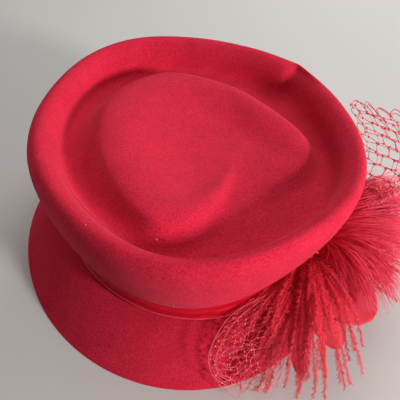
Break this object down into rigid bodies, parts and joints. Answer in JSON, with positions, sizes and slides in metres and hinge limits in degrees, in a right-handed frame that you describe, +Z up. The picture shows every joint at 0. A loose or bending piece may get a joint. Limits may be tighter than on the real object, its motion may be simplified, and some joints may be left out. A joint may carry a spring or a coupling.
{
  "type": "derby hat",
  "caption": "Lady's red felt derby hat with a rolled crown edge, sunken top with a raised tip, turned-down bell brim, satin ribbon and a trim of veiling net and feathers.",
  "frame": {"origin": "middle of the head oval, in the plane on which the brim's cut edge stands", "axes": "+Z up through the crown, -Y to the front of the hat, +X to its right in the picture, where the trim is"},
  "size_m": [0.2678, 0.3007, 0.1001],
  "materials": {
    "felt": "brushed wool felt",
    "satin": "satin ribbon",
    "net": "fine knotted net",
    "feather": "dyed feather"
  },
  "bodies": {
    "root": {"crown": "felt", "brim": "felt", "ribbon": "satin", "veil_front": "net", "veil_back": "net", "hackle_fan": "feather", "feather_right": "feather", "feather_middle": "feather", "feather_left": "feather", "ostrich_spray": "feather"}
  },
  "joints": []
}
